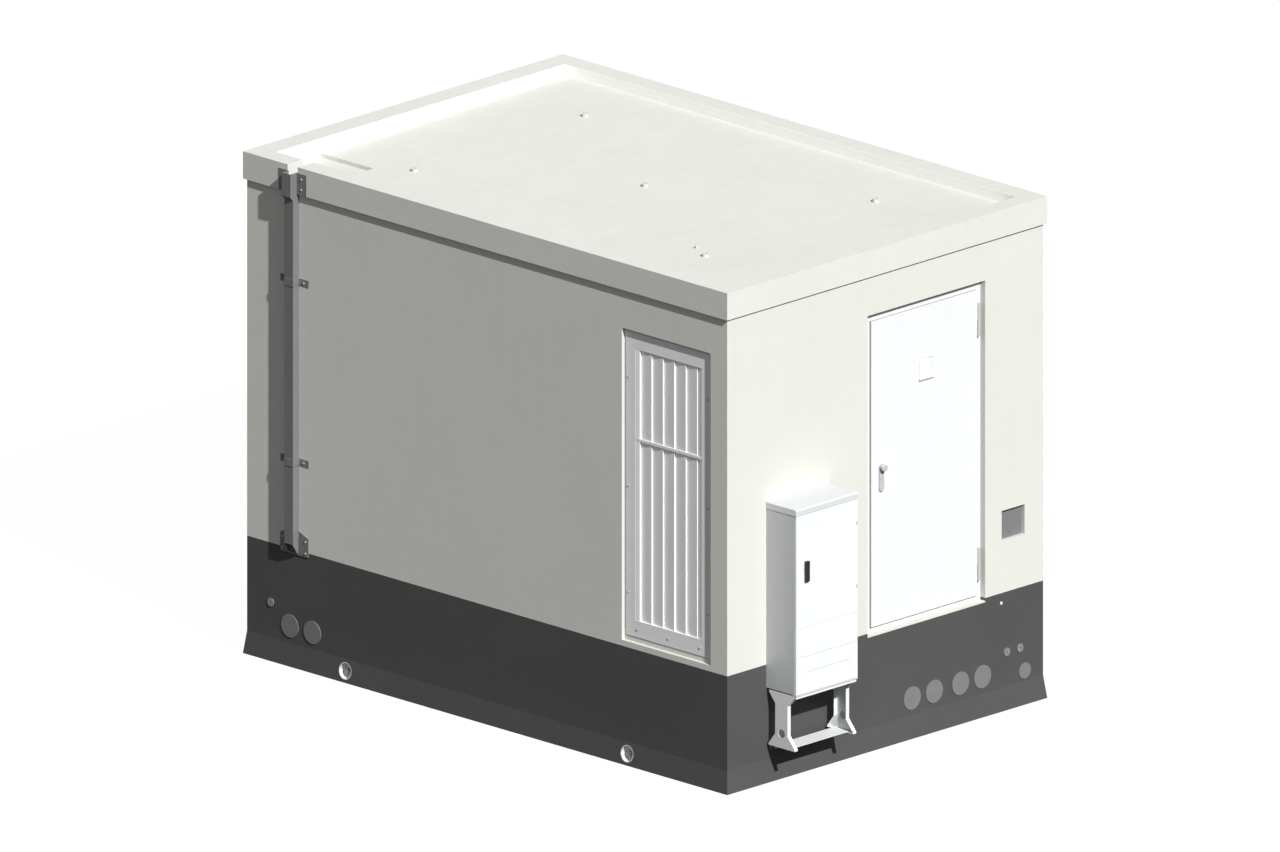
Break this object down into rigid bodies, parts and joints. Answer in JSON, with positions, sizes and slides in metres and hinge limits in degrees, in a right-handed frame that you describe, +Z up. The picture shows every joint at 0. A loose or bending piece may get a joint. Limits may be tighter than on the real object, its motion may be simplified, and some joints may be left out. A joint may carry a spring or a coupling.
{
  "type": "compact transformer substation",
  "caption": "Walk-in precast concrete transformer substation with flat roof, steel door, air grille, downpipe and a cable cabinet on the front wall.",
  "frame": {"origin": "centre of the underside of the foundation tub, between its four walls", "axes": "+Z up; -Y is the door wall; -X is the wall with the air grille and the downpipe"},
  "size_m": [3.103, 4.796, 3.5],
  "materials": {
    "concrete_dark": "coated, matt",
    "concrete_cream": "fine render, matt",
    "concrete_roof": "fair-faced, matt",
    "white_coat": "powder coat, satin",
    "light_grey_coat": "powder coat, satin",
    "grey_coat": "powder coat, matt",
    "zinc_grey": "coated sheet, matt",
    "galvanised": "galvanised",
    "steel": "satin",
    "cream_coat": "powder coat, wall colour",
    "pale_plastic": "matt",
    "grey_plastic": "matt",
    "white_plastic": "matt",
    "black_plastic": "matt",
    "cabinet_plastic": "moulded, fine grain",
    "rubber": "matt",
    "porcelain": "brown glaze",
    "cable_red": "cable sheath",
    "cable_black": "cable sheath",
    "green_coat": "oil-proof paint"
  },
  "bodies": {
    "station": {"anchor_cups": "white_plastic", "anchor_studs": "galvanised", "cabinet_cap": "cabinet_plastic", "cabinet_fuses": "black_plastic", "cabinet_housing": "cabinet_plastic", "cabinet_legs": "cabinet_plastic", "cable_entry_covers": "grey_plastic", "door_frame": "white_coat", "door_seal": "rubber", "door_sill": "concrete_cream", "downpipe": "zinc_grey", "downpipe_shoe": "zinc_grey", "earth_bushings": "galvanised", "floor_beams": "galvanised", "floor_plates": "galvanised", "foundation_tub": "concrete_dark", "frame_hinges": "steel", "fuse_strips": "black_plastic", "lv_board": "galvanised", "lv_bushings": "porcelain", "lv_cables": "cable_black", "mv_bushings": "porcelain", "mv_cables": "cable_red", "niche_lining": "cream_coat", "pipe_clamps": "zinc_grey", "rmu_cabinet": "light_grey_coat", "transformer_cover": "green_coat", "transformer_rails": "galvanised", "transformer_tank": "green_coat", "vent_bars": "light_grey_coat", "vent_frame": "light_grey_coat", "vent_screen": "light_grey_coat", "wall_plug": "white_plastic", "wall_screws": "steel", "wall_shell": "concrete_cream"},
    "roof": {"roof_slab": "concrete_roof", "roof_plugs": "pale_plastic", "rain_hopper": "zinc_grey", "hopper_screws": "steel"},
    "door": {"door_leaf": "white_coat", "leaf_hinges": "steel", "lock_plate": "steel", "door_knob": "steel", "lock_cylinder": "steel", "lock_case": "galvanised", "sign_holder": "white_plastic"},
    "lever": {"inside_lever": "steel"},
    "latch": {"latch_bolt": "steel"},
    "meter_flap": {"niche_flap": "grey_coat", "flap_lock": "steel"},
    "hatch": {"floor_hatch": "galvanised"},
    "tap_knob": {"tap_changer": "black_plastic"},
    "shaft_1": {"rmu_shaft_1": "steel"},
    "shaft_2": {"rmu_shaft_2": "steel"},
    "shaft_3": {"rmu_shaft_3": "steel"},
    "main_switch": {"lv_switch_handle": "black_plastic"},
    "street_door": {"cabinet_door": "cabinet_plastic"},
    "street_handle": {"cabinet_handle": "black_plastic"},
    "street_cover": {"cabinet_cover": "cabinet_plastic"},
    "street_lower_cover": {"cabinet_lower_cover": "cabinet_plastic"}
  },
  "joints": [
    {"name": "roof_lift", "type": "slide", "parent": "station", "child": "roof", "axis": [0, 0, 1], "range_m": [0, 0.6]},
    {"name": "door_swing", "type": "hinge", "parent": "station", "child": "door", "pos_m": [0.917, -2.212, 1.9], "axis": [0, 0, 1], "range_deg": [0, 100]},
    {"name": "lever_turn", "type": "hinge", "parent": "door", "child": "lever", "pos_m": [-0.015, -2.15, 1.944], "axis": [0, 1, 0], "range_deg": [0, 40], "stiffness_Nm_per_rad": 0.8, "springref_deg": -34.38},
    {"name": "latch_slide", "type": "slide", "parent": "door", "child": "latch", "axis": [1, 0, 0], "range_m": [0, 0.0125]},
    {"name": "flap_swing", "type": "hinge", "parent": "station", "child": "meter_flap", "pos_m": [1.215, -2.206, 1.381], "axis": [-1, 0, 0], "range_deg": [0, 85]},
    {"name": "hatch_lift", "type": "slide", "parent": "station", "child": "hatch", "axis": [0, 0, 1], "range_m": [0, 0.35]},
    {"name": "tap_turn", "type": "hinge", "parent": "station", "child": "tap_knob", "pos_m": [-0.45, -1.5, 1.77], "axis": [0, 0, 1], "range_deg": [0, 120]},
    {"name": "main_switch_turn", "type": "hinge", "parent": "station", "child": "main_switch", "pos_m": [-1.15, -0.225, 1.65], "axis": [1, 0, 0], "range_deg": [0, 90]},
    {"name": "street_door_swing", "type": "hinge", "parent": "station", "child": "street_door", "pos_m": [-0.551, -2.514, 1.5], "axis": [0, 0, 1], "range_deg": [0, 120]},
    {"name": "street_handle_turn", "type": "hinge", "parent": "street_door", "child": "street_handle", "pos_m": [-1.034, -2.51, 1.56], "axis": [0, -1, 0], "range_deg": [0, 90]},
    {"name": "street_cover_off", "type": "slide", "parent": "station", "child": "street_cover", "axis": [0, -1, 0], "range_m": [0, 0.2]},
    {"name": "street_lower_cover_off", "type": "slide", "parent": "station", "child": "street_lower_cover", "axis": [0, -1, 0], "range_m": [0, 0.2]},
    {"name": "shaft_1_turn", "type": "hinge", "parent": "station", "child": "shaft_1", "pos_m": [0.3, 1.354, 1.75], "axis": [0, -1, 0], "range_deg": [0, 90]},
    {"name": "shaft_2_turn", "type": "hinge", "parent": "station", "child": "shaft_2", "pos_m": [0.7, 1.354, 1.75], "axis": [0, -1, 0], "range_deg": [0, 90]},
    {"name": "shaft_3_turn", "type": "hinge", "parent": "station", "child": "shaft_3", "pos_m": [1.1, 1.354, 1.75], "axis": [0, -1, 0], "range_deg": [0, 90]}
  ],
  "couplings": [
    {"joint": "latch_slide", "follows": "lever_turn", "m_per_rad": 0.0172}
  ]
}
